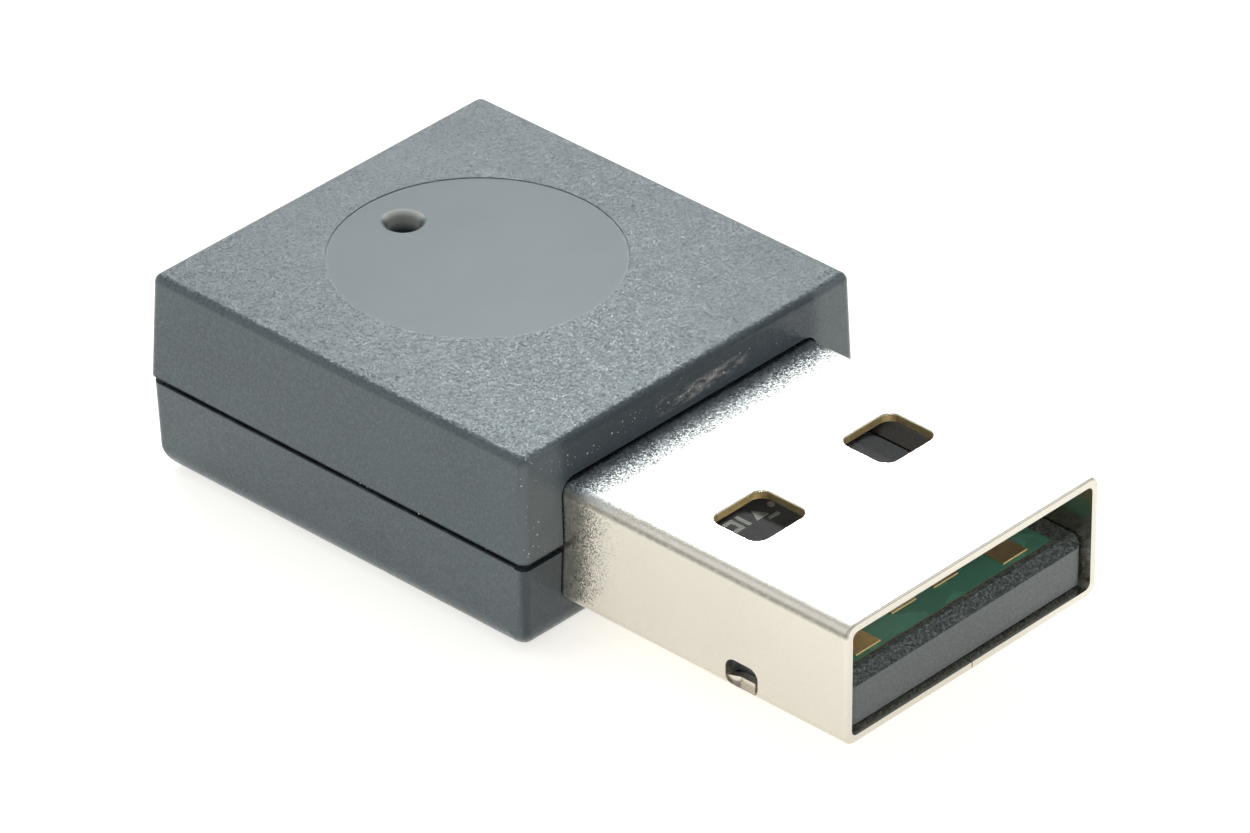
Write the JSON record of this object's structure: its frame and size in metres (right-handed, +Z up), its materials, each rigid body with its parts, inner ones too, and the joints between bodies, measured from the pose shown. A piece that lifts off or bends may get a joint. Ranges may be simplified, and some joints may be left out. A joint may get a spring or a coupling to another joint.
{
  "type": "usb microcontroller programmer",
  "caption": "Thumb-size USB programmer: type A plug on a moulded two-part case with a round recess and indicator hole on top and a pin socket for the target at the rear.",
  "frame": {"origin": "bottom centre of the object's box: the flat underside of the case is Z = 0", "axes": "+Z up through the case roof, X across the width, the USB plug points along -Y and the target socket faces +Y"},
  "size_m": [0.0158, 0.0288, 0.0074],
  "materials": {
    "case_plastic": "spark-eroded mould texture, blue-grey, fine glints; smooth inside the round recess",
    "shell_nickel": "nickel-plated spring steel, satin and finely pebbled",
    "carrier_plastic": "black glass-filled resin, smooth front face, eroded bevel",
    "board_green": "green solder resist over fibreglass",
    "contact_gold": "thin gold plating, satin",
    "package_resin": "moulded epoxy",
    "lead_tin": "matte tin plating",
    "crystal_ceramic": "unglazed alumina",
    "crystal_metal": "drawn and plated lid",
    "led_lens": "water-clear epoxy over a pale die",
    "terminal_tin": "tinned chip terminals",
    "capacitor_ceramic": "fired ceramic, tan",
    "resistor_glaze": "black glaze over alumina",
    "ferrite": "dark sintered ferrite",
    "fuse_resin": "green coated laminate",
    "socket_resin": "black glass-filled resin",
    "solder": "bright reflowed solder",
    "board_ink": "printed white ink"
  },
  "bodies": {
    "root": {"upper_case": "case_plastic", "lower_case": "case_plastic", "usb_shell": "shell_nickel", "plug_carrier": "carrier_plastic", "circuit_board": "board_green", "contact_vbus": "contact_gold", "contact_data_minus": "contact_gold", "contact_data_plus": "contact_gold", "contact_ground": "contact_gold", "microcontroller": "package_resin", "microcontroller_leads": "lead_tin", "voltage_regulator": "package_resin", "voltage_regulator_leads": "lead_tin", "target_driver": "package_resin", "target_driver_leads": "lead_tin", "surge_protector": "package_resin", "surge_protector_leads": "lead_tin", "crystal_base": "crystal_ceramic", "crystal_lid": "crystal_metal", "status_led": "led_lens", "led_terminals": "terminal_tin", "chip_capacitors": "capacitor_ceramic", "capacitor_terminals": "terminal_tin", "chip_resistors": "resistor_glaze", "resistor_terminals": "terminal_tin", "ferrite_bead": "ferrite", "bead_terminals": "terminal_tin", "resettable_fuse": "fuse_resin", "fuse_terminals": "terminal_tin", "target_socket": "socket_resin", "socket_contacts": "contact_gold", "leg_solder": "solder", "socket_solder": "solder", "board_markings": "board_ink"}
  },
  "joints": []
}
